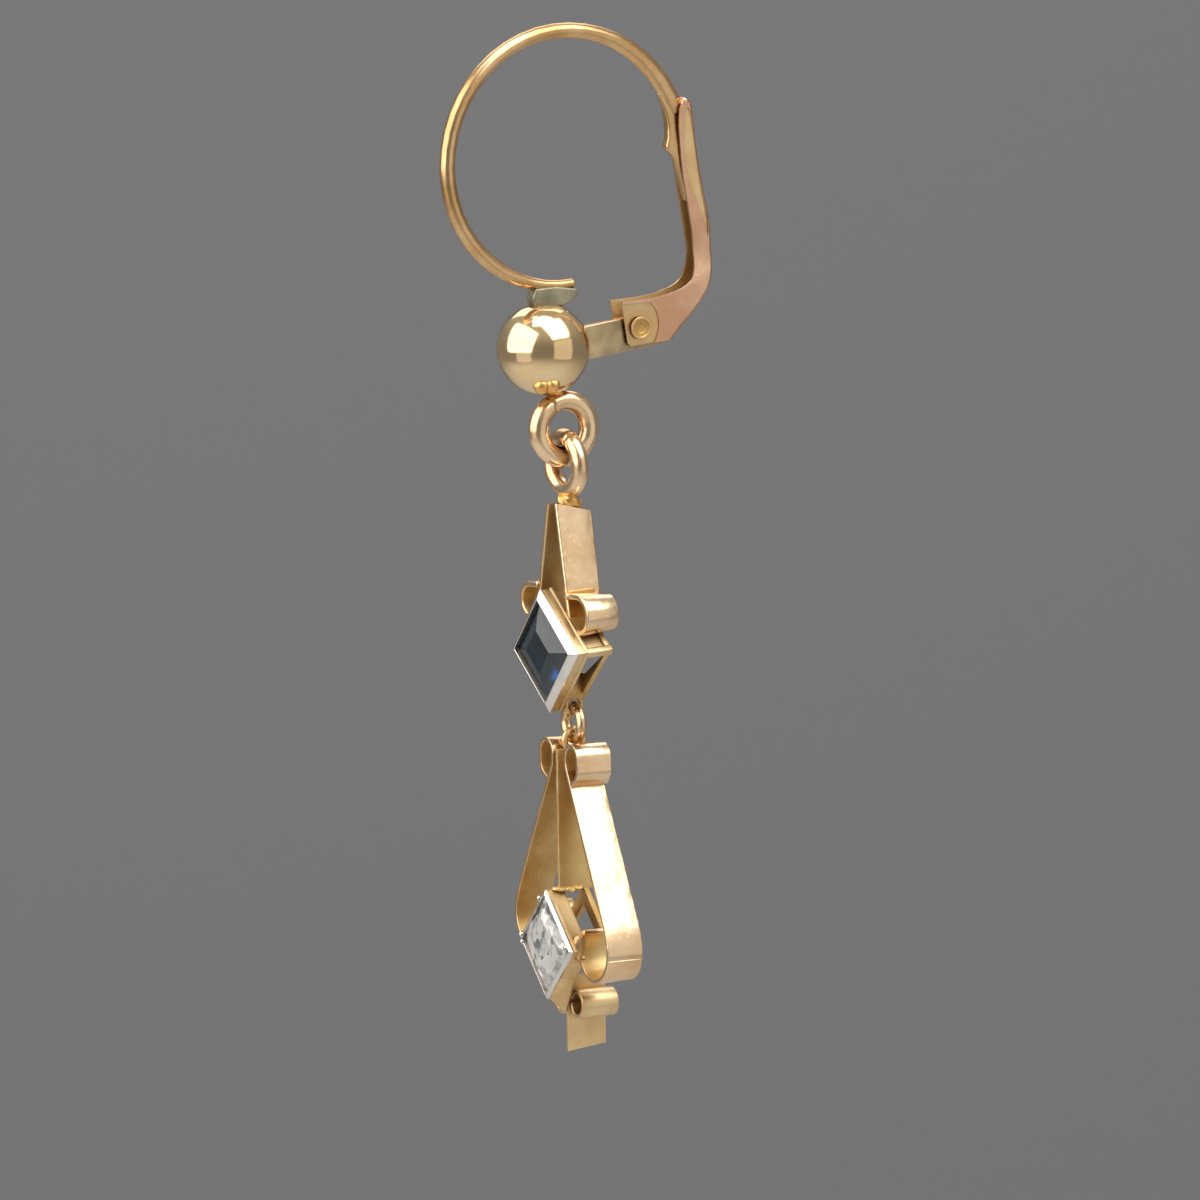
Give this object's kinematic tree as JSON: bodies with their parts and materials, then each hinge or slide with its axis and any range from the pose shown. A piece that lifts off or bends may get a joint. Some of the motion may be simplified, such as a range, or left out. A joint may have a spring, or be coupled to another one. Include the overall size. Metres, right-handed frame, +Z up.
{
  "type": "leverback dangle earring",
  "caption": "Gold earring whose ear wire closes with a hinged lever; scrolled strip drops, each with a square stone on its point, swing below a ball.",
  "frame": {"origin": "underside of the ear wire's top, where the wire hangs in the ear", "axes": "+Z up, the stones face -Y and the ear and the lever's back are at +Y, +X to the wearer's side"},
  "size_m": [0.0102, 0.0152, 0.0525],
  "materials": {
    "yellow_gold": "polished",
    "rose_gold": "polished",
    "white_gold": "polished",
    "sapphire": "faceted, polished",
    "diamond": "faceted, polished"
  },
  "bodies": {
    "hook": {"ear_hook": "yellow_gold", "hinge_pin": "yellow_gold"},
    "lever": {"lever": "rose_gold"},
    "upper_drop": {"upper_frame": "yellow_gold", "sapphire": "sapphire"},
    "link": {"link_ring": "yellow_gold"},
    "lower_drop": {"lower_frame": "yellow_gold", "diamond": "diamond"}
  },
  "joints": [
    {"name": "lever_hinge", "type": "hinge", "parent": "hook", "child": "lever", "pos_m": [0, 0.00377, -0.01478], "axis": [-1, 0, 0], "range_deg": [0, 55]},
    {"name": "upper_swing", "type": "hinge", "parent": "hook", "child": "upper_drop", "pos_m": [0, -0.00026, -0.02021], "axis": [1, 0, 0], "range_deg": [-30, 30]},
    {"name": "link_swing", "type": "hinge", "parent": "upper_drop", "child": "link", "pos_m": [0.00071, -0.00006, -0.03444], "axis": [0, 1, 0], "range_deg": [-20, 20]},
    {"name": "lower_swing", "type": "hinge", "parent": "link", "child": "lower_drop", "pos_m": [0.00071, -0.00006, -0.0356], "axis": [1, 0, 0], "range_deg": [-25, 25]}
  ]
}
